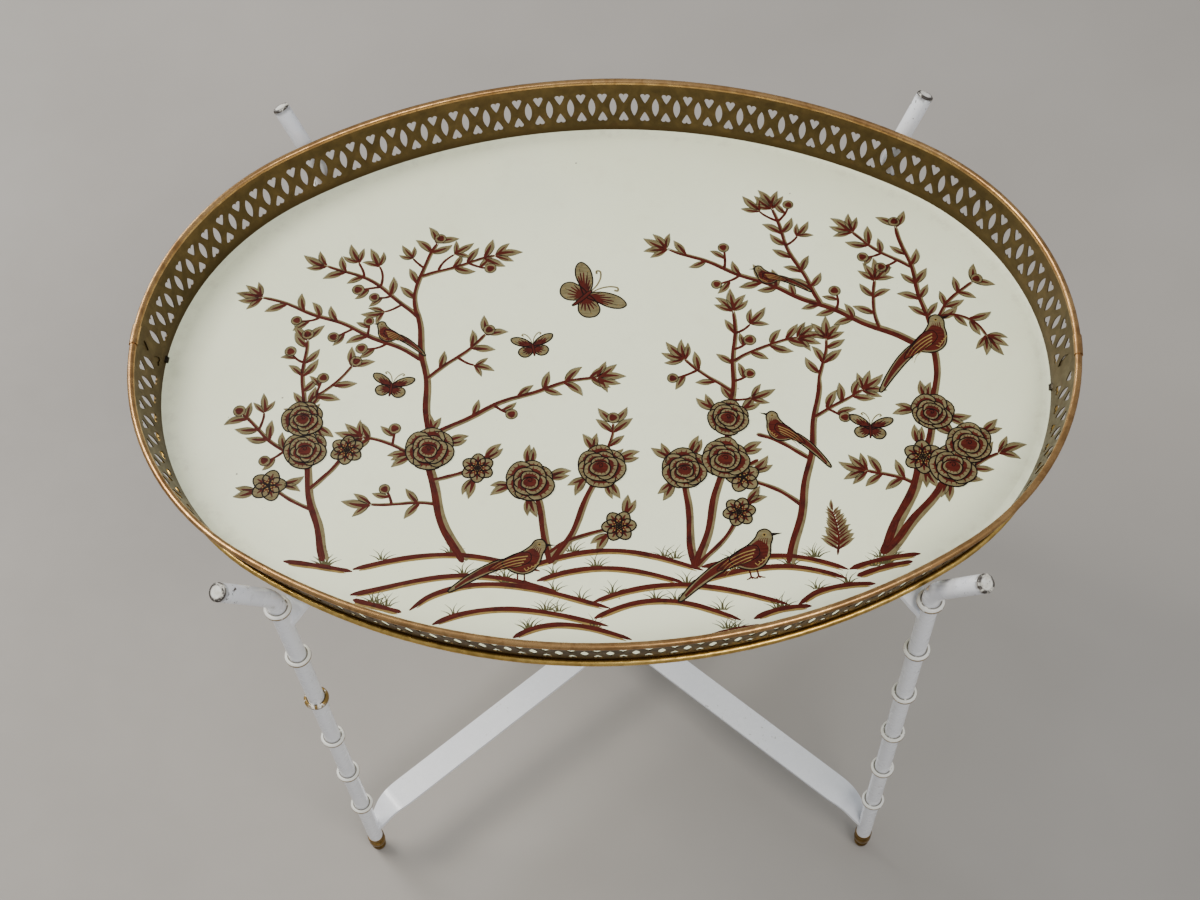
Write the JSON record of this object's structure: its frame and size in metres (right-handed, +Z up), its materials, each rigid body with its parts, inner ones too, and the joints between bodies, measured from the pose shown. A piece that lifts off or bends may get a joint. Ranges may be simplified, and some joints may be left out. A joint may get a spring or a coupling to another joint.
{
  "type": "tray table",
  "caption": "Oval gallery tray with pierced brass rim and painted cream floor, resting loose on a folding white faux-bamboo metal stand with flared horns and brass feet.",
  "frame": {"origin": "on the floor, on the vertical axis through the two pivots of the stand", "axes": "+X along the tray's long axis, +Z up, -Y the front, where the painted hills are"},
  "size_m": [0.6549, 0.474, 0.5494],
  "materials": {
    "gallery_brass": "aged pierced sheet brass, brown patina, semi-matt",
    "bead_brass": "polished rolled edge with rubbed highlights",
    "base_brass": "worn golden rolled rim with small dents",
    "foot_brass": "turned brass, darkened in the grooves",
    "cream_enamel": "cream enamel with a hand-painted garden, satin",
    "white_paint": "gloss white paint over metal, chipped",
    "collar_paint": "ivory paint with a gilt line",
    "zinc_steel": "plated steel fasteners"
  },
  "bodies": {
    "frame_a": {"collars_back_left": "collar_paint", "collars_front_right": "collar_paint", "foot_back_left": "foot_brass", "foot_front_right": "foot_brass", "horn_plug_back_left": "white_paint", "horn_plug_front_right": "white_paint", "leg_back_left": "white_paint", "leg_front_right": "white_paint", "upper_bar_a": "white_paint", "lower_bar_a": "white_paint", "lower_pivot_nut": "zinc_steel", "lower_pivot_screw": "zinc_steel", "lower_pivot_washer": "zinc_steel", "upper_pivot_nut": "zinc_steel", "upper_pivot_screw": "zinc_steel", "upper_pivot_washer": "zinc_steel"},
    "frame_b": {"collars_back_right": "collar_paint", "collars_front_left": "collar_paint", "foot_back_right": "foot_brass", "foot_front_left": "foot_brass", "horn_plug_back_right": "white_paint", "horn_plug_front_left": "white_paint", "leg_back_right": "white_paint", "leg_front_left": "white_paint", "upper_bar_b": "white_paint", "lower_bar_b": "white_paint"},
    "tray": {"tray_floor": "cream_enamel", "base_bead": "base_brass", "gallery_back": "gallery_brass", "gallery_front": "gallery_brass", "top_bead_back": "bead_brass", "top_bead_front": "bead_brass", "solder_tacks": "base_brass"}
  },
  "joints": [
    {"name": "frame_fold", "type": "hinge", "parent": "frame_a", "child": "frame_b", "pos_m": [0, 0, 0.28], "axis": [0, 0, 1], "range_deg": [0, 95]},
    {"name": "tray_lift", "type": "slide", "parent": "frame_a", "child": "tray", "axis": [0, 0, 1], "range_m": [0, 0.12]}
  ]
}
